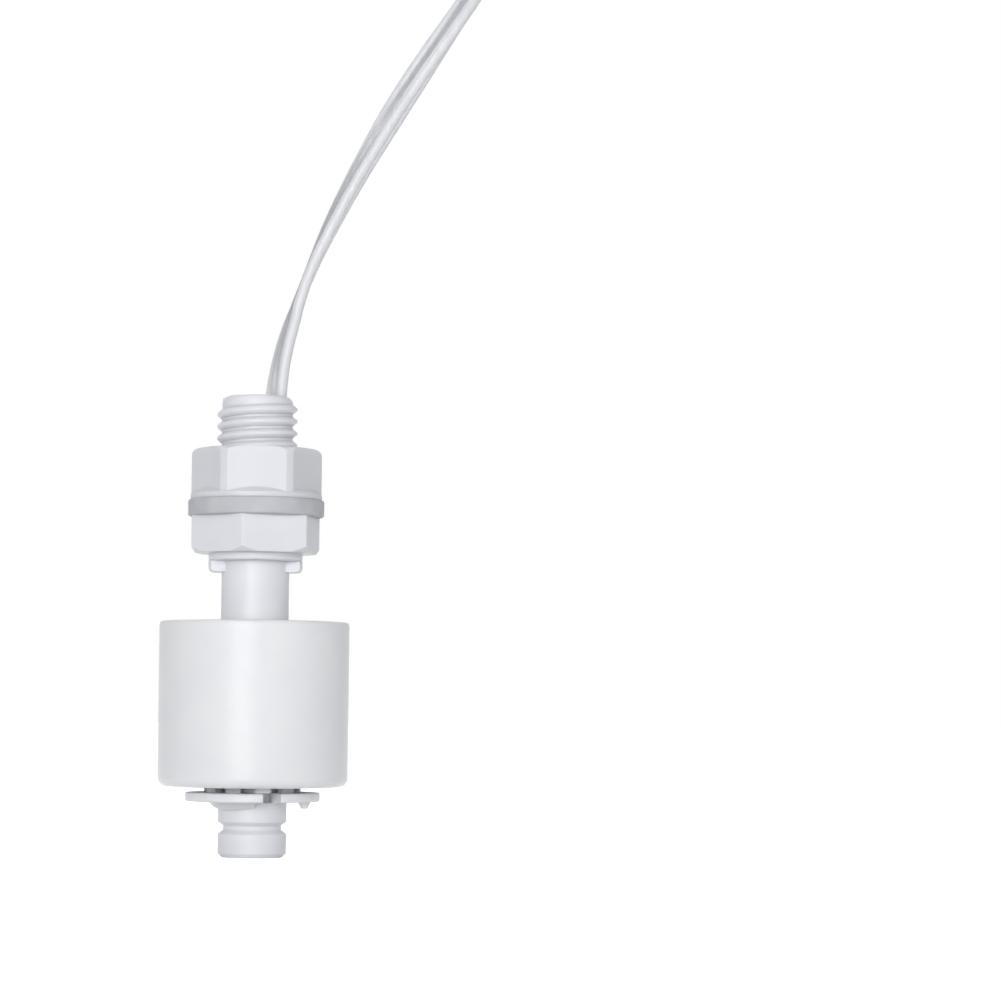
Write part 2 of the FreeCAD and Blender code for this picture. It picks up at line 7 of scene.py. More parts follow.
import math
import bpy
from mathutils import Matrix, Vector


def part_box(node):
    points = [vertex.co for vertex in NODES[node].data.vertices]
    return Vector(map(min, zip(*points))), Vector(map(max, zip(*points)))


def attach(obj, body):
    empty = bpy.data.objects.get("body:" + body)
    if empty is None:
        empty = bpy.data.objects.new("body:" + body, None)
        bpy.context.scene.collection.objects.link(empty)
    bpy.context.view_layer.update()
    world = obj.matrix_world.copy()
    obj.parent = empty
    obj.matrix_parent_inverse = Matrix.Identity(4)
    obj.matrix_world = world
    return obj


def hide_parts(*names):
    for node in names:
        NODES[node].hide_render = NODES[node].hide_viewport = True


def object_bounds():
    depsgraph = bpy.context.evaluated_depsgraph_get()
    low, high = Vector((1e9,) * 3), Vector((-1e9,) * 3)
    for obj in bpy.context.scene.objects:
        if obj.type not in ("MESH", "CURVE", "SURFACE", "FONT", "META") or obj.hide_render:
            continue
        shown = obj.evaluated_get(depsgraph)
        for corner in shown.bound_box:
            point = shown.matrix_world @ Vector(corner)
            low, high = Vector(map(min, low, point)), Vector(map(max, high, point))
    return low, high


bl_info = {
    "name": "Float level switch",
    "version": (1, 0, 0),
    "blender": (4, 5, 0),
    "location": "3D View > Sidebar > Float switch",
    "description": "Finishes, moulded thread, twin lead and studio of a float level switch",
    "category": "Object",
}

import bmesh
import bpy
from bpy.props import FloatProperty, FloatVectorProperty, IntProperty, PointerProperty, StringProperty
from mathutils import Matrix, Vector

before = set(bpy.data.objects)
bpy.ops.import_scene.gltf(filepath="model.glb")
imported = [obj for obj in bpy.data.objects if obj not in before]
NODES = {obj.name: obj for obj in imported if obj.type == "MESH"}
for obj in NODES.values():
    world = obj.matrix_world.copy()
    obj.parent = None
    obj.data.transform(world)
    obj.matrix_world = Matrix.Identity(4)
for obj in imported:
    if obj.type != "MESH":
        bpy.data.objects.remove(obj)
CAD_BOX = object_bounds()

MM = 0.001

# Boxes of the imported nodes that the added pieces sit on
RESIN_LOW, RESIN_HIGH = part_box("resin_plug")
TIE_LOW, TIE_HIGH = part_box("hank_tie")
HANK_LOW, HANK_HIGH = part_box("lead_hank")

# The lead's route in millimetres, from the resin up, over and down behind the switch to the hank
LEAD_ROUTE = [
    (2.15, 0.0, 11.6),
    (2.5, 0.0, 16.1),
    (4.6, 0.0, 24.2),
    (7.95, 0.0, 33.2),
    (12.7, 0.0, 42.8),
    (18.3, 0.0, 52.6),
    (25.9, 0.0, 63.7),
    (30.5, 9.7, 72.2),
    (29.8, 23.3, 72.7),
    (24.1, 33.0, 64.9),
    (14.3, 33.0, 48.4),
    (9.0, 33.0, 38.1),
    (4.9, 33.0, 28.3),
    (2.4, 33.0, 19.5),
    (2.3, 33.0, 10.9),
    (2.3, 33.0, 2.4),
]
# How far the flat lead turns its edge to the front, in degrees, at heights in millimetres
LEAD_TWIST = [
    (11.6, 0.0),
    (13.6, 36.0),
    (15.2, 40.0),
    (17.0, 52.0),
    (22.5, 64.0),
    (24.3, 77.0),
    (27.5, 88.0),
    (30.5, 83.0),
    (33.5, 70.0),
    (41.5, 46.0),
    (54.0, 0.0),
]
ROUND_STEPS = 48  # steps in a full turn of the thread and of the resin
CORE_STEPS = 10  # faces round each core of the lead
LINE_STEPS = 6  # points of the lead's line for each control point
HALF_TURN_STEPS = 6  # steps between the control points of an end loop of the hank
HANK_CLEAR = 0.4 * MM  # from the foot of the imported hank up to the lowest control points
WAIST_HALF = 3 * MM  # half the straight run through the tie
STRANDS_ROUND = 6  # strands round the middle one in a bare end
STRAND_LAY = 5 * MM  # height over which the strands turn once
STRAND_STEPS = 14  # steps up a strand
STRAND_SIDES = 8  # faces round a strand
SENSOR_WIDTH = 36  # of the camera, in millimetres
NEAR, FAR = 0.01, 20  # what the camera sees, in metres
FLOOR_HALF = 3.0  # metres from the floor's middle to an edge
FLOOR_GLOW = 0.85  # light that the board adds where it is seen, to show white round the shadow

# Sockets of a Mix node that mixes colours
MIX_SHARE, MIX_FIRST, MIX_SECOND, MIX_RESULT = 0, 6, 7, 2
# How far red, green and blue light spread in white plastic, against each other
SPREAD = (1.0, 0.95, 0.9)


def linear(text):
    """A hex colour in sRGB as the linear values that shaders take."""
    parts = [int(text[i:i + 2], 16) / 255 for i in (1, 3, 5)]
    lit = [c / 12.92 if c <= 0.04045 else ((c + 0.055) / 1.055) ** 2.4 for c in parts]
    return (*lit, 1.0)


def add_node(tree, kind, inputs=None, **settings):
    """Add a node with its settings. inputs maps a socket to its value or to the output that feeds it."""
    node = tree.nodes.new(kind)
    for name, value in settings.items():
        setattr(node, name, value)
    for socket, value in (inputs or {}).items():
        if isinstance(value, bpy.types.NodeSocket):
            tree.links.new(value, node.inputs[socket])
        else:
            node.inputs[socket].default_value = value
    return node


def smooth(x):
    """0 below 0, 1 above 1, and an easy slope between."""
    x = min(1.0, max(0.0, x))
    return x * x * (3 - 2 * x)


class SwitchFinish(bpy.types.PropertyGroup):
    """Colours of the switch, as sRGB hex values."""

    body: StringProperty(name="Body", description="Stub, hexagon and stem", default="#E1E2E6")
    # Painted shade: the nut is the body's plastic in a darker copy, which stands in for shade on it
    nut: StringProperty(name="Nut", description="Lock nut", default="#DADBDF")
    float_colour: StringProperty(name="Float", description="Float's cup and cap", default="#E6E7E8")
    clip: StringProperty(name="Clip", description="Retaining clip", default="#E4E5E8")
    gasket: StringProperty(name="Gasket", description="Silicone gasket", default="#C2C3C7")
    lead: StringProperty(name="Lead", description="The lead's plain core", default="#DEDFE1")
    # Grey of the stripe by the web on one core: partly a marking, partly painted shade of the crevice
    # between the cores
    lead_stripe_and_shade: StringProperty(name="Marked core", description="Stripe on one core", default="#B2B3B7")
    resin: StringProperty(name="Resin", description="Potting resin", default="#DCDCD6")
    tie: StringProperty(name="Tie", description="Tie round the hank", default="#EDEDEC")


class ThreadSizes(bpy.types.PropertyGroup):
    """Sizes of the moulded thread."""

    pitch: FloatProperty(
        name="Pitch", description="Rise in one turn", default=1.5 * MM, unit="LENGTH"
    )
    outside: FloatProperty(
        name="Outside", description="Diameter at the crests", default=10 * MM, unit="LENGTH"
    )
    core: FloatProperty(
        name="Core", description="Diameter of the stub", default=8.8 * MM, unit="LENGTH"
    )
    top: FloatProperty(
        name="Top", description="Where the ridge runs out", default=12.15 * MM, unit="LENGTH"
    )
    turns: FloatProperty(name="Turns", description="Turns of the ridge", default=7.5)


class LeadSizes(bpy.types.PropertyGroup):
    """Sizes of the twin lead and its hank."""

    width: FloatProperty(
        name="Width", description="Across both cores", default=2.8 * MM, unit="LENGTH"
    )
    web: FloatProperty(
        name="Web", description="Angle at which a core meets the web, in degrees", default=155.0
    )
    length: FloatProperty(
        name="Length", description="The whole lead", default=0.41, unit="LENGTH"
    )
    loop: FloatProperty(
        name="Loop", description="Radius of the hank's end loops", default=8.8 * MM, unit="LENGTH"
    )
    hump: FloatProperty(
        name="Hump", description="Rise of the last loop", default=1.2 * MM, unit="LENGTH"
    )
    waist: FloatProperty(
        name="Waist", description="From centre to each layer", default=0.8 * MM, unit="LENGTH"
    )
    turns: IntProperty(name="Turns", description="Turns of the hank", default=2)


class StudioSetup(bpy.types.PropertyGroup):
    """Camera and lamps."""

    eye: FloatVectorProperty(
        name="Eye", description="Camera's place", default=(0, -0.4, -0.0257), unit="LENGTH"
    )
    lens: FloatProperty(name="Lens", description="Focal length in millimetres", default=115.08)
    yaw: FloatProperty(name="Yaw", description="Degrees to the right", default=4.37, min=-90, max=90)
    pitch: FloatProperty(name="Pitch", description="Degrees upwards", default=3.72, min=-90, max=90)
    roll: FloatProperty(name="Roll", description="Degrees about the view", default=0.5, min=-90, max=90)
    ambient: FloatProperty(name="Ambient", description="Strength of the light all round", default=0.25)
    front: FloatProperty(name="Front", description="Strength of the wide front lamp", default=1.1)
    right: FloatProperty(name="Right", description="Strength of the lamp on the right", default=0.22)
    key: FloatProperty(name="Key", description="Strength of the narrow front lamp", default=1.85)
    top: FloatProperty(name="Top", description="Strength of the lamp overhead", default=0.4)
    back: FloatProperty(name="Back", description="Strength of the lamp behind", default=1.7)


def settings():
    """The switch's settings, which the scene holds."""
    return bpy.context.scene.float_switch


def finish_mesh(name, bm, material, body):
    """Make an object of this bmesh, with its material and its body."""
    bmesh.ops.recalc_face_normals(bm, faces=bm.faces[:])
    for face in bm.faces:
        face.smooth = True
    mesh = bpy.data.meshes.new(name)
    bm.to_mesh(mesh)
    bm.free()
    piece = bpy.data.objects.new(name, mesh)
    bpy.context.scene.collection.objects.link(piece)
    mesh.materials.append(material)
    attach(piece, body)
    return piece


def start_material(name):
    """An empty material, its node tree and its Object coordinates."""
    material = bpy.data.materials.new(name)
    material.use_nodes = True
    tree = material.node_tree
    tree.nodes.clear()
    return material, tree, add_node(tree, "ShaderNodeTexCoord").outputs["Object"]


def close_material(material, inputs):
    """Give the material its shader with these inputs, and its output."""
    shader = add_node(material.node_tree, "ShaderNodeBsdfPrincipled", inputs)
    add_node(material.node_tree, "ShaderNodeOutputMaterial", {"Surface": shader.outputs["BSDF"]})
    return material


def moulded_plastic(name, colour, shade, rough, edge=0.18 * MM, glow=0.35, shine=0.5):
    """Polypropylene as it leaves the mould: an even satin skin with faint clouds and flow lines.

    Clouds of about 5 mm come from uneven packing, flow lines run along the part, and the grain is
    the mould's fine texture, drawn at 0.3 mm because the real one is finer than the render shows.
    glow is the share of the light that goes a little way in and comes out again, and shine the
    strength of the highlights.
    """
    material, tree, place = start_material(name)
    clouds = add_node(tree, "ShaderNodeTexNoise", {"Vector": place, "Scale": 1 / (5 * MM), "Detail": 2.0})
    share = add_node(tree, "ShaderNodeMapRange", {
        "Value": clouds.outputs["Fac"],
        "From Min": 0.35,
        "From Max": 0.7,
    })
    tint = add_node(tree, "ShaderNodeMix", {
        MIX_SHARE: share.outputs["Result"],
        MIX_FIRST: linear(colour),
        MIX_SECOND: linear(shade),
    }, data_type="RGBA")
    drawn = add_node(tree, "ShaderNodeMapping", {"Vector": place, "Scale": (1.0, 1.0, 0.35)})
    lines = add_node(tree, "ShaderNodeTexNoise", {
        "Vector": drawn.outputs["Vector"],
        "Scale": 1 / (1.2 * MM),
        "Detail": 3.0,
    })
    gloss = add_node(tree, "ShaderNodeMapRange", {
        "Value": lines.outputs["Fac"],
        "From Min": 0.3,
        "From Max": 0.7,
        "To Min": rough - 0.02,
        "To Max": rough + 0.02,
    })
    grain = add_node(tree, "ShaderNodeTexNoise", {"Vector": place, "Scale": 1 / (0.3 * MM), "Detail": 1.0})
    worn = add_node(tree, "ShaderNodeBevel", {"Radius": edge}, samples=4)
    bump = add_node(tree, "ShaderNodeBump", {
        "Strength": 0.12,
        "Distance": 0.02 * MM,
        "Height": grain.outputs["Fac"],
        "Normal": worn.outputs["Normal"],
    })
    return close_material(material, {
        "Base Color": tint.outputs[MIX_RESULT],
        "Roughness": gloss.outputs["Result"],
        "Normal": bump.outputs["Normal"],
        "IOR": 1.49,
        "Specular IOR Level": shine,
        "Subsurface Weight": glow,
        "Subsurface Scale": 1.5 * MM,
        "Subsurface Radius": SPREAD,
    })


def gasket_rubber(colour):
    """Pale grey silicone, pressed and cut: matt, with faint cloudy bloom and specks of dust.

    The bloom's clouds are about 2.5 mm wide and the specks 0.35 mm.
    """
    material, tree, place = start_material("silicone_rubber_pressed")
    bloom = add_node(tree, "ShaderNodeTexNoise", {"Vector": place, "Scale": 1 / (2.5 * MM), "Detail": 4.0})
    share = add_node(tree, "ShaderNodeMapRange", {
        "Value": bloom.outputs["Fac"],
        "From Min": 0.35,
        "From Max": 0.7,
    })
    tint = add_node(tree, "ShaderNodeMix", {
        MIX_SHARE: share.outputs["Result"],
        MIX_FIRST: linear(colour),
        MIX_SECOND: linear("#B9BABF"),
    }, data_type="RGBA")
    dust = add_node(tree, "ShaderNodeTexNoise", {"Vector": place, "Scale": 1 / (0.35 * MM), "Detail": 2.0})
    worn = add_node(tree, "ShaderNodeBevel", {"Radius": 0.2 * MM}, samples=4)
    bump = add_node(tree, "ShaderNodeBump", {
        "Strength": 0.2,
        "Distance": 0.03 * MM,
        "Height": dust.outputs["Fac"],
        "Normal": worn.outputs["Normal"],
    })
    gloss = add_node(tree, "ShaderNodeMapRange", {
        "Value": dust.outputs["Fac"],
        "From Min": 0.3,
        "From Max": 0.7,
        "To Min": 0.55,
        "To Max": 0.7,
    })
    return close_material(material, {
        "Base Color": tint.outputs[MIX_RESULT],
        "Roughness": gloss.outputs["Result"],
        "Normal": bump.outputs["Normal"],
        "IOR": 1.41,
        "Subsurface Weight": 0.08,
        "Subsurface Scale": 0.6 * MM,
    })


def lead_insulation(colour, stripe_and_shade):
    """Soft PVC, extruded over both cores: smooth and slightly waxy, with a grey stripe on one core.

    The attribute core_side runs from -1 at the striped core's edge to 1 at the plain one's. The
    stripe is grey from the web to halfway round its core: partly a marking, partly painted shade
    of the crevice between the cores. Both colours have upright streaks about 0.7 mm wide, from
    the die that the plastic was drawn through.
    """
    material, tree, place = start_material("pvc_insulation_extruded")
    side = add_node(tree, "ShaderNodeAttribute", attribute_name="core_side")
    # Painted shade: the grey reaches from the web (core_side 0) to halfway round the striped core, along
    # the crevice between the cores, and is partly a marking
    inner = add_node(tree, "ShaderNodeMapRange", {
        "Value": side.outputs["Fac"],
        "From Min": -0.02,
        "From Max": 0.08,
    })
    outer = add_node(tree, "ShaderNodeMapRange", {
        "Value": side.outputs["Fac"],
        "From Min": -0.35,
        "From Max": -0.6,
    })
    unmarked_unshaded = add_node(tree, "ShaderNodeMath", {
        0: inner.outputs["Result"],
        1: outer.outputs["Result"],
    }, operation="MAXIMUM")
    drawn = add_node(tree, "ShaderNodeMapping", {"Vector": place, "Scale": (1.0, 1.0, 0.2)})
    streaks = add_node(tree, "ShaderNodeTexNoise", {
        "Vector": drawn.outputs["Vector"],
        "Scale": 1 / (0.7 * MM),
        "Detail": 3.0,
    })
    share = add_node(tree, "ShaderNodeMapRange", {
        "Value": streaks.outputs["Fac"],
        "From Min": 0.3,
        "From Max": 0.75,
    })
    white = add_node(tree, "ShaderNodeMix", {
        MIX_SHARE: share.outputs["Result"],
        MIX_FIRST: linear(colour),
        MIX_SECOND: linear("#D4D5D8"),
    }, data_type="RGBA")
    # The stripe's grey, partly a marking and partly painted shade, streaked like the white
    grey = add_node(tree, "ShaderNodeMix", {
        MIX_SHARE: share.outputs["Result"],
        MIX_FIRST: linear(stripe_and_shade),
        MIX_SECOND: linear("#A7A8AD"),
    }, data_type="RGBA")
    tint = add_node(tree, "ShaderNodeMix", {
        MIX_SHARE: unmarked_unshaded.outputs["Value"],
        MIX_FIRST: grey.outputs[MIX_RESULT],
        MIX_SECOND: white.outputs[MIX_RESULT],
    }, data_type="RGBA")
    gloss = add_node(tree, "ShaderNodeMapRange", {
        "Value": streaks.outputs["Fac"],
        "From Min": 0.3,
        "From Max": 0.7,
        "To Min": 0.34,
        "To Max": 0.46,
    })
    bump = add_node(tree, "ShaderNodeBump", {
        "Strength": 0.15,
        "Distance": 0.03 * MM,
        "Height": streaks.outputs["Fac"],
    })
    return close_material(material, {
        "Base Color": tint.outputs[MIX_RESULT],
        "Roughness": gloss.outputs["Result"],
        "Normal": bump.outputs["Normal"],
        "IOR": 1.53,
        "Subsurface Weight": 0.1,
        "Subsurface Scale": 0.3 * MM,
        "Subsurface Radius": SPREAD,
    })


def speckled(name, colours, size, rough, metal=0.0, ior=1.5, clear=0.0):
    """A plain industrial finish: two close colours in clouds of one size, which also vary the gloss."""
    material, tree, place = start_material(name)
    cloud = add_node(tree, "ShaderNodeTexNoise", {"Vector": place, "Scale": 1 / size, "Detail": 3.0})
    share = add_node(tree, "ShaderNodeMapRange", {
        "Value": cloud.outputs["Fac"],
        "From Min": 0.35,
        "From Max": 0.65,
    })
    tint = add_node(tree, "ShaderNodeMix", {
        MIX_SHARE: share.outputs["Result"],
        MIX_FIRST: linear(colours[0]),
        MIX_SECOND: linear(colours[1]),
    }, data_type="RGBA")
    gloss = add_node(tree, "ShaderNodeMapRange", {
        "Value": cloud.outputs["Fac"],
        "From Min": 0.3,
        "From Max": 0.7,
        "To Min": rough[0],
        "To Max": rough[1],
    })
    bump = add_node(tree, "ShaderNodeBump", {
        "Strength": 0.2,
        "Distance": size / 10,
        "Height": cloud.outputs["Fac"],
    })
    return close_material(material, {
        "Base Color": tint.outputs[MIX_RESULT],
        "Roughness": gloss.outputs["Result"],
        "Normal": bump.outputs["Normal"],
        "Metallic": metal,
        "IOR": ior,
        "Transmission Weight": clear,
    })


def dress(node, material):
    """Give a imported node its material."""
    mesh = NODES[node].data
    mesh.materials.clear()
    mesh.materials.append(material)


class FLOATSWITCH_OT_finish(bpy.types.Operator):
    """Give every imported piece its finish"""

    bl_idname = "float_switch.finish"
    bl_label = "Finish the packed pieces"

    def execute(self, context):
        look = settings().finish
        # Moulded thick: satin, with a little light inside
        body = moulded_plastic("polypropylene_body_moulded", look.body, "#DDDEE2", 0.42)
        # The same plastic, a shade darker: painted shade, a darker copy that stands in for shade on the nut
        nut = moulded_plastic("polypropylene_nut_moulded_shaded", look.nut, "#D6D7DB", 0.42)
        # A smoother mould, and a thin wall over air: a soft highlight and little glow
        shell = moulded_plastic(
            "polypropylene_float_moulded", look.float_colour, "#E3E4E6", 0.3,
            edge=0.25 * MM, glow=0.05, shine=0.3,
        )
        # Thin enough for light to come through it
        clip = moulded_plastic(
            "polypropylene_clip_moulded", look.clip, "#E0E1E4", 0.4, edge=0.12 * MM, glow=0.8
        )
        # Smooth and even, a little yellower than the body
        tie = moulded_plastic("polyolefin_band_shrunk", look.tie, "#E3E3E2", 0.45, edge=0.1 * MM)
        # Waxy, with faint clouds
        core = speckled("pvc_core_extruded", ("#E4E4E2", "#D8D8D6"), 1.5 * MM, (0.35, 0.5))
        # Solder-dipped strands: bright, uneven in gloss
        tinned = speckled(
            "copper_wire_tinned", ("#C9C8C4", "#B4B3AE"), 0.4 * MM, (0.25, 0.45), metal=1.0
        )
        # Plated strip: even, with a soft shine
        blade = speckled(
            "nickel_iron_blade_plated", ("#B9B7AE", "#A5A39A"), 0.5 * MM, (0.2, 0.35), metal=1.0
        )
        # Black and matt, drawn tight over the joint
        sleeve = speckled("polyolefin_sleeve_shrunk", ("#1F2022", "#2A2B2E"), 0.8 * MM, (0.45, 0.6))
        # Pressed powder, fired: dark grey, matt, with a fine grain
        ferrite = speckled("ferrite_sintered", ("#3A3A3C", "#2C2C2E"), 0.5 * MM, (0.5, 0.7))
        # Drawn tube, melted shut at its ends: clear with a green tint
        glass = speckled("glass_tube_sealed", ("#DDF0E4", "#D2EADC"), 2 * MM, (0.04, 0.08), clear=1.0)
        # Set in the stub's mouth: off-white and glossy, with slow clouds
        resin = speckled("epoxy_resin_poured", (look.resin, "#D2D2CB"), 3 * MM, (0.15, 0.3))
        wears = {
            "switch_body": body,
            "lock_nut": nut,
            "float_shell": shell,
            "float_cap": shell,
            "retaining_clip": clip,
            "gasket": gasket_rubber(look.gasket),
            "ring_magnet": ferrite,
            "reed_glass": glass,
            "reed_blade_upper": blade,
            "reed_blade_lower": blade,
            "conductor_short": tinned,
            "conductor_long": tinned,
            "lead_core_short": core,
            "lead_core_long": core,
            "resin_plug": resin,
            "joint_sleeve_upper": sleeve,
            "joint_sleeve_lower": sleeve,
            "hank_tie": tie,
        }
        for node, material in wears.items():
            dress(node, material)
        return {"FINISHED"}


class FLOATSWITCH_OT_thread(bpy.types.Operator):
    """Wind the moulded thread round the stub"""

    bl_idname = "float_switch.thread"
    bl_label = "Screw thread"

    def execute(self, context):
        size = settings().thread
        core, crest, pitch = size.core / 2, size.outside / 2, size.pitch
        start = size.top - size.turns * pitch
        # Half the ridge's width at its foot, its rounded shoulder and its crest
        foot, shoulder, flat = 0.42 * pitch, 0.13 * pitch, 0.05 * pitch
        shoulder_drop = 0.06 * MM
        sunk = 0.2 * MM
        run_in, run_out = 0.3, 0.4  # turns over which the ridge rises and fades
        half = [(crest, flat), (crest - shoulder_drop, shoulder), (core, foot), (core - sunk, foot)]
        profile = half[::-1] + [(r, -z) for r, z in half]
        bm = bmesh.new()
        corners = [bm.verts.new((r, 0, start + z)) for r, z in profile]
        section = bm.faces.new(corners)
        steps = round(size.turns * ROUND_STEPS)
        bmesh.ops.spin(
            bm,
            geom=[section, *section.edges, *corners],
            cent=(0, 0, 0),
            axis=(0, 0, 1),
            dvec=(0, 0, size.turns * pitch / steps),
            angle=size.turns * math.tau,
            steps=steps,
        )
        for v in bm.verts:
            lead_angle = math.atan2(v.co.y, v.co.x) / math.tau
            turn = lead_angle + round((v.co.z - start) / pitch - lead_angle)
            kept = smooth(turn / run_in) * smooth((size.turns - turn) / run_out)
            radius = math.hypot(v.co.x, v.co.y)
            if radius > core:
                wanted = core - sunk / 2 + (radius - core + sunk / 2) * kept
                v.co.x, v.co.y = v.co.x * wanted / radius, v.co.y * wanted / radius
        material = NODES["switch_body"].data.materials[0]
        finish_mesh("stub_thread", bm, material, "switch")
        return {"FINISHED"}


def nurbs_line(points):
    """The points that a smooth curve with these control points passes, in order."""
    data = bpy.data.curves.new("line", "CURVE")
    data.dimensions = "3D"
    spline = data.splines.new("NURBS")
    spline.points.add(len(points) - 1)
    for control, place in zip(spline.points, points):
        control.co = (*place, 1.0)
    spline.order_u = 3
    spline.use_endpoint_u = True
    spline.resolution_u = LINE_STEPS
    holder = bpy.data.objects.new("line", data)
    mesh = bpy.data.meshes.new_from_object(holder)
    line = [v.co.copy() for v in mesh.vertices]
    bpy.data.meshes.remove(mesh)
    bpy.data.curves.remove(data)
    return line


def hank_points():
    """Control points of the hank's turns: down the back, round below, up the front, over the top."""
    size = settings().lead
    centre = (TIE_LOW + TIE_HIGH) / 2
    low = HANK_LOW.z + size.loop + HANK_CLEAR
    high = 2 * centre.z - low
    shift = (HANK_HIGH.x - HANK_LOW.x) / 4
    columns = [centre.x + shift * (1 - 2 * i / (size.turns - 1)) for i in range(size.turns)]
    points = []
    for turn, column in enumerate(columns):
        last = turn == size.turns - 1
        after = column if last else columns[turn + 1]
        if turn == 0:
            points.append((column, centre.y + size.loop, high))
        points.append((column, centre.y + size.waist, centre.z + WAIST_HALF))
        points.append((column, centre.y + size.waist, centre.z - WAIST_HALF))
        for step in range(HALF_TURN_STEPS + 1):
            a = -math.pi / HALF_TURN_STEPS * step
            points.append((column, centre.y + size.loop * math.cos(a), low + size.loop * math.sin(a)))
        points.append((column, centre.y - size.waist, centre.z - WAIST_HALF))
        points.append((column, centre.y - size.waist, centre.z + WAIST_HALF))
        for step in range(HALF_TURN_STEPS + 1):
            a = math.pi - math.pi / HALF_TURN_STEPS * step
            # The last loop stands out from its second step on
            radius = size.loop + (size.hump * smooth(step / 2) if last else 0)
            x = column + (after - column) * smooth(step / HALF_TURN_STEPS)
            points.append((x, centre.y + radius * math.cos(a), high + radius * math.sin(a)))
    return points


def twist_at(height):
    """The lead's turn at this height, in radians."""
    height /= MM
    if height <= LEAD_TWIST[0][0]:
        return math.radians(LEAD_TWIST[0][1])
    for (h0, a0), (h1, a1) in zip(LEAD_TWIST, LEAD_TWIST[1:]):
        if height <= h1:
            return math.radians(a0 + (a1 - a0) * (height - h0) / (h1 - h0))
    return math.radians(LEAD_TWIST[-1][1])


def seen_height(point):
    """The height on the stem's plane behind which the camera sees this point."""
    eye = settings().studio.eye
    return eye[2] + (point.z - eye[2]) * eye[1] / (eye[1] - point.y)


def section_frame(line, i):
    """The matrix that sets the lead's section at this point of its line, turned by its twist."""
    before, after = line[max(i - 1, 0)], line[min(i + 1, len(line) - 1)]
    along = (after - before).normalized()
    turn = twist_at(seen_height(line[i]))
    across = Vector((math.cos(turn), -math.sin(turn), 0))
    across = (across - along * across.dot(along)).normalized()
    turned = Matrix((across, along.cross(across), along)).transposed().to_4x4()
    return Matrix.Translation(line[i]) @ turned


class FLOATSWITCH_OT_lead(bpy.types.Operator):
    """Run the twin lead along its route and wind its hank"""

    bl_idname = "float_switch.lead"
    bl_label = "Twin lead"

    def execute(self, context):
        size = settings().lead
        look = settings().finish
        route = [tuple(c * MM for c in p) for p in LEAD_ROUTE]
        line = nurbs_line(route + hank_points())
        radius = size.width / 4
        bm = bmesh.new()
        side = bm.verts.layers.float.new("core_side")
        ring = []
        for sign in (1, -1):
            for step in range(CORE_STEPS + 1):
                a = math.radians(size.web * (2 * step / CORE_STEPS - 1))
                v = bm.verts.new((sign * radius * (1 + math.cos(a)), sign * radius * math.sin(a), 0))
                v[side] = v.co.x / (2 * radius)
                ring.append(v)
        start = bm.faces.new(ring)
        place = section_frame(line, 0)
        bmesh.ops.transform(bm, matrix=place, verts=ring)
        edges = list(start.edges)
        for i in range(1, len(line)):
            made = bmesh.ops.extrude_edge_only(bm, edges=edges)["geom"]
            verts = [g for g in made if isinstance(g, bmesh.types.BMVert)]
            new_edges = [g for g in made if isinstance(g, bmesh.types.BMEdge)]
            edges = [edge for edge in new_edges if all(v in verts for v in edge.verts)]
            target = section_frame(line, i)
            bmesh.ops.transform(bm, matrix=target @ place.inverted(), verts=verts)
            place = target
        bmesh.ops.edgeloop_fill(bm, edges=edges)
        material = lead_insulation(look.lead, look.lead_stripe_and_shade)
        lead = finish_mesh("twin_lead", bm, material, "switch")
        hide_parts("lead_cord", "lead_hank")
        return {"FINISHED"}


class FLOATSWITCH_OT_bare_ends(bpy.types.Operator):
    """Twist the stripped and tinned strands at the lead's far end"""

    bl_idname = "float_switch.bare_ends"
    bl_label = "Bare ends"

    def execute(self, context):
        material = NODES["conductor_long"].data.materials[0]
        for letter in "ab":
            low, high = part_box("lead_end_" + letter)
            centre = (low + high) / 2
            strand = (high.x - low.x) / 6  # radius, with three strands side by side
            tall = high.z - low.z
            bm = bmesh.new()
            for i in range(STRANDS_ROUND + 1):
                a = math.tau * i / STRANDS_ROUND
                reach = 0 if i == STRANDS_ROUND else 2 * strand
                at = Vector((centre.x + reach * math.cos(a), centre.y + reach * math.sin(a), low.z))
                made = bmesh.ops.create_circle(
                    bm,
                    cap_ends=True,
                    segments=STRAND_SIDES,
                    radius=strand,
                    matrix=Matrix.Translation(at),
                )
                faces = list({f for v in made["verts"] for f in v.link_faces})
                bmesh.ops.spin(
                    bm,
                    geom=faces,
                    cent=centre,
                    axis=(0, 0, 1),
                    dvec=(0, 0, tall / STRAND_STEPS),
                    angle=math.tau * tall / STRAND_LAY,
                    steps=STRAND_STEPS,
                )
            piece = finish_mesh("bare_strands_" + letter, bm, material, "switch")
            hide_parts("lead_end_" + letter)
        return {"FINISHED"}


class FLOATSWITCH_OT_resin(bpy.types.Operator):
    """Pour the resin's top, which creeps up the wall of the stub"""

    bl_idname = "float_switch.resin"
    bl_label = "Resin top"

    def execute(self, context):
        mouth = (RESIN_HIGH.x - RESIN_LOW.x) / 2
        level = RESIN_HIGH.z
        # Share of the mouth's radius, and rise above the resin's level in millimetres
        creep = [(0.0, 0.02), (0.5, 0.03), (0.8, 0.06), (0.93, 0.16), (0.985, 0.34), (1.0, 0.5)]
        bm = bmesh.new()
        line = [bm.verts.new((mouth * r, 0, level + h * MM)) for r, h in creep]
        edges = [bm.edges.new(pair) for pair in zip(line, line[1:])]
        bmesh.ops.spin(
            bm,
            geom=edges + line,
            cent=(0, 0, 0),
            axis=(0, 0, 1),
            angle=math.tau,
            steps=ROUND_STEPS,
            use_merge=True,
        )
        bmesh.ops.remove_doubles(bm, verts=bm.verts[:], dist=1e-7)
        material = NODES["resin_plug"].data.materials[0]
        piece = finish_mesh("resin_top", bm, material, "switch")
        for face in piece.data.polygons:
            if face.normal.z < 0:
                face.flip()
        return {"FINISHED"}


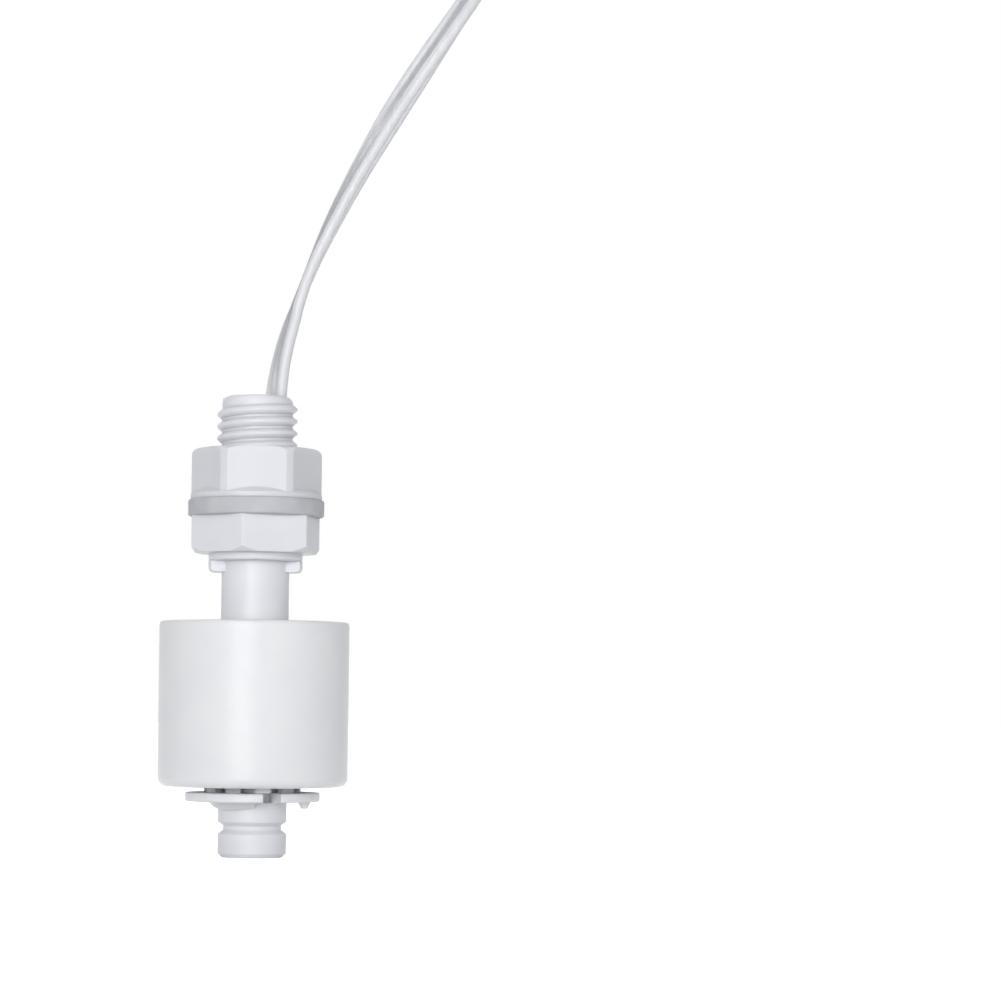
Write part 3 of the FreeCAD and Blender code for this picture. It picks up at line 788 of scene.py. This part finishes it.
class FLOATSWITCH_OT_studio(bpy.types.Operator):
    """Set the camera, the floor, the world and the lamps"""

    bl_idname = "float_switch.studio"
    bl_label = "Studio"

    def execute(self, context):
        scene, setup = context.scene, settings().studio
        camera = bpy.data.objects.new("camera", bpy.data.cameras.new("camera"))
        scene.collection.objects.link(camera)
        camera.data.lens = setup.lens
        camera.data.sensor_width = SENSOR_WIDTH
        camera.data.clip_start, camera.data.clip_end = NEAR, FAR
        turn = Matrix.Rotation(-math.radians(setup.yaw), 4, "Z")
        turn = turn @ Matrix.Rotation(math.radians(90 + setup.pitch), 4, "X")
        turn = turn @ Matrix.Rotation(math.radians(setup.roll), 4, "Z")
        camera.matrix_world = Matrix.Translation(setup.eye) @ turn
        scene.camera = camera
        scene.view_settings.view_transform = "Standard"

        bm = bmesh.new()
        bmesh.ops.create_grid(bm, x_segments=1, y_segments=1, size=FLOOR_HALF)
        bmesh.ops.translate(bm, verts=bm.verts, vec=(0, 0, CAD_BOX[0].z))
        mesh = bpy.data.meshes.new("floor")
        bm.to_mesh(mesh)
        bm.free()
        floor = bpy.data.objects.new("floor", mesh)
        scene.collection.objects.link(floor)
        mesh.materials.append(self.white_floor())

        self.white_world(scene, setup.ambient)
        self.lamp("front_lamp", (0.03, -1.0, 0.12), 60, setup.front)
        self.lamp("right_lamp", (0.8, -0.7, 0.15), 60, setup.right)
        self.lamp("key_lamp", (-0.25, -1.0, 0.05), 28, setup.key)
        self.lamp("top_lamp", (0.0, 0.0, 1.0), 40, setup.top)
        self.lamp("back_lamp", (0.0, 1.0, 0.4), 20, setup.back, glare=False)
        return {"FINISHED"}

    def lamp(self, name, place, width, strength, glare=True):
        """A soft box far away in this direction, this many degrees wide, which lights all alike.

        One without glare isn't mirrored in the pieces that it lights.
        """
        light = bpy.data.lights.new(name, "SUN")
        light.angle = math.radians(width)
        light.energy = strength
        holder = bpy.data.objects.new(name, light)
        holder.rotation_euler = Vector(place).to_track_quat("Z", "Y").to_euler()
        holder.visible_glossy = glare
        bpy.context.scene.collection.objects.link(holder)

    def seen_directly(self, tree):
        """1 for rays from the camera, a reflection or glass, and 0 for light on the object."""
        path = add_node(tree, "ShaderNodeLightPath")
        either = add_node(tree, "ShaderNodeMath", {
            0: path.outputs["Is Camera Ray"],
            1: path.outputs["Is Glossy Ray"],
        }, operation="MAXIMUM")
        any_of_them = add_node(tree, "ShaderNodeMath", {
            0: either.outputs["Value"],
            1: path.outputs["Is Transmission Ray"],
        }, operation="MAXIMUM")
        return any_of_them.outputs["Value"]

    def white_floor(self):
        """Matt white board. It shows white to the camera and still takes the object's shadow."""
        material = bpy.data.materials.new("board_painted_matt")
        material.use_nodes = True
        tree = material.node_tree
        tree.nodes.clear()
        board = add_node(tree, "ShaderNodeBsdfDiffuse", {"Color": linear("#F2F2F2")})
        glow = add_node(tree, "ShaderNodeEmission", {"Color": linear("#FFFFFF"), "Strength": FLOOR_GLOW})
        lit = add_node(tree, "ShaderNodeAddShader", {0: board.outputs["BSDF"], 1: glow.outputs["Emission"]})
        mix = add_node(tree, "ShaderNodeMixShader", {
            0: self.seen_directly(tree),
            1: board.outputs["BSDF"],
            2: lit.outputs["Shader"],
        })
        add_node(tree, "ShaderNodeOutputMaterial", {"Surface": mix.outputs["Shader"]})
        return material

    def white_world(self, scene, ambient):
        """White wherever it is seen, with a cool light of this strength on the object."""
        world = bpy.data.worlds.new("studio")
        world.use_nodes = True
        tree = world.node_tree
        tree.nodes.clear()
        seen = add_node(tree, "ShaderNodeBackground", {"Color": linear("#FFFFFF"), "Strength": 1.0})
        light = add_node(tree, "ShaderNodeBackground", {"Color": linear("#F7F8FF"), "Strength": ambient})
        mix = add_node(tree, "ShaderNodeMixShader", {
            0: self.seen_directly(tree),
            1: light.outputs["Background"],
            2: seen.outputs["Background"],
        })
        add_node(tree, "ShaderNodeOutputWorld", {"Surface": mix.outputs["Shader"]})
        scene.world = world


class SwitchSettings(bpy.types.PropertyGroup):
    """All that a user would change."""

    finish: PointerProperty(name="Finish", description="Colours", type=SwitchFinish)
    thread: PointerProperty(name="Thread", description="The moulded thread", type=ThreadSizes)
    lead: PointerProperty(name="Lead", description="The twin lead", type=LeadSizes)
    studio: PointerProperty(name="Studio", description="Camera and lamps", type=StudioSetup)


STEPS = (
    FLOATSWITCH_OT_studio,
    FLOATSWITCH_OT_finish,
    FLOATSWITCH_OT_bare_ends,
    FLOATSWITCH_OT_lead,
    FLOATSWITCH_OT_thread,
    FLOATSWITCH_OT_resin,
)


class FLOATSWITCH_PT_panel(bpy.types.Panel):
    """Lists the switch's steps and settings"""

    bl_idname = "FLOATSWITCH_PT_panel"
    bl_label = "Float level switch"
    bl_space_type = "VIEW_3D"
    bl_region_type = "UI"
    bl_category = "Float switch"

    def draw(self, context):
        for step in STEPS:
            self.layout.operator(step.bl_idname)
        for group in (settings().finish, settings().thread, settings().lead, settings().studio):
            box = self.layout.box()
            for name in group.bl_rna.properties.keys():
                if name not in ("rna_type", "name"):
                    box.prop(group, name)


CLASSES = (
    SwitchFinish,
    ThreadSizes,
    LeadSizes,
    StudioSetup,
    SwitchSettings,
    *STEPS,
    FLOATSWITCH_PT_panel,
)


def register():
    """Register the classes and hang the settings on the scene."""
    for cls in CLASSES:
        bpy.utils.register_class(cls)
    bpy.types.Scene.float_switch = PointerProperty(type=SwitchSettings)


def unregister():
    """Take the settings and the classes away again."""
    del bpy.types.Scene.float_switch
    for cls in reversed(CLASSES):
        bpy.utils.unregister_class(cls)


def main():
    """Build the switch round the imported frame."""
    register()
    for step in STEPS:
        group, name = step.bl_idname.split(".")
        getattr(getattr(bpy.ops, group), name)()


if __name__ == "__main__":
    main()
